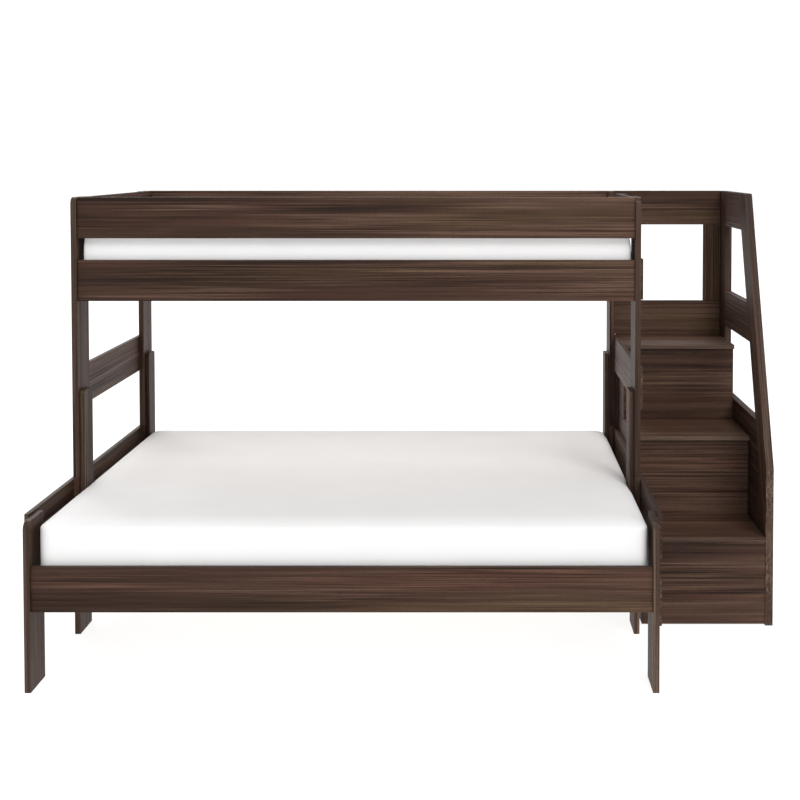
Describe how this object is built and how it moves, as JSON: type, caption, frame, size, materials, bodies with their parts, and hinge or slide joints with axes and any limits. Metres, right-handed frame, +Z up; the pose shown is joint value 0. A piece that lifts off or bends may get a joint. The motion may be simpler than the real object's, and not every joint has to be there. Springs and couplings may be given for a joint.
{
  "type": "bunk bed with staircase",
  "caption": "Wide-over-narrow wooden bunk bed with guard rails, plain mattresses on slats and a box staircase with an open side frame at one end.",
  "frame": {"origin": "on the floor, under the middle of the whole object's box", "axes": "+X from the bed's left end to the staircase, +Y from the front to the rear, +Z up"},
  "size_m": [2.6336, 1.5896, 1.6279],
  "materials": {
    "stained_wood": "dark walnut stain, satin, grain along each board",
    "slat_wood": "bare sawn softwood",
    "mattress_cover": "plain white matt fabric"
  },
  "bodies": {
    "root": {"centre_beam": "slat_wood", "centre_leg_left": "slat_wood", "centre_leg_right": "slat_wood", "end_guard_left": "stained_wood", "end_guard_right": "stained_wood", "entry_stile": "stained_wood", "front_leg_left": "stained_wood", "front_leg_right": "stained_wood", "front_post_left": "stained_wood", "front_post_right": "stained_wood", "guard_front": "stained_wood", "guard_rear": "stained_wood", "headboard_rail_left": "stained_wood", "headboard_rail_right": "stained_wood", "joint_plate_front_left": "stained_wood", "joint_plate_front_right": "stained_wood", "joint_plate_rear_left": "stained_wood", "joint_plate_rear_right": "stained_wood", "lower_cleat_front": "stained_wood", "lower_cleat_rear": "stained_wood", "lower_end_rail_left": "stained_wood", "lower_end_rail_right": "stained_wood", "lower_mattress": "mattress_cover", "lower_side_rail_front": "stained_wood", "lower_side_rail_rear": "stained_wood", "lower_slat_roll": "slat_wood", "middle_end_rail_left": "stained_wood", "middle_end_rail_right": "stained_wood", "middle_leg_left": "stained_wood", "middle_leg_right": "stained_wood", "rear_leg_left": "stained_wood", "rear_leg_right": "stained_wood", "rear_post_left": "stained_wood", "rear_post_right": "stained_wood", "riser_1": "stained_wood", "riser_2": "stained_wood", "riser_3": "stained_wood", "stair_back_low_rail": "stained_wood", "stair_back_panel": "stained_wood", "stair_back_stile": "stained_wood", "stair_back_top_rail": "stained_wood", "stair_fixing_block": "stained_wood", "stair_front_stile": "stained_wood", "stair_rear_post": "stained_wood", "stair_side_middle_rail": "stained_wood", "stair_side_panel": "stained_wood", "stair_side_top_rail": "stained_wood", "step_panel_left": "stained_wood", "step_panel_right": "stained_wood", "tread_1": "stained_wood", "tread_2": "stained_wood", "tread_3": "stained_wood", "upper_cleat_front": "stained_wood", "upper_cleat_rear": "stained_wood", "upper_end_rail_left": "stained_wood", "upper_end_rail_right": "stained_wood", "upper_mattress": "mattress_cover", "upper_side_rail_front": "stained_wood", "upper_side_rail_rear": "stained_wood", "upper_slat_roll": "slat_wood"}
  },
  "joints": []
}
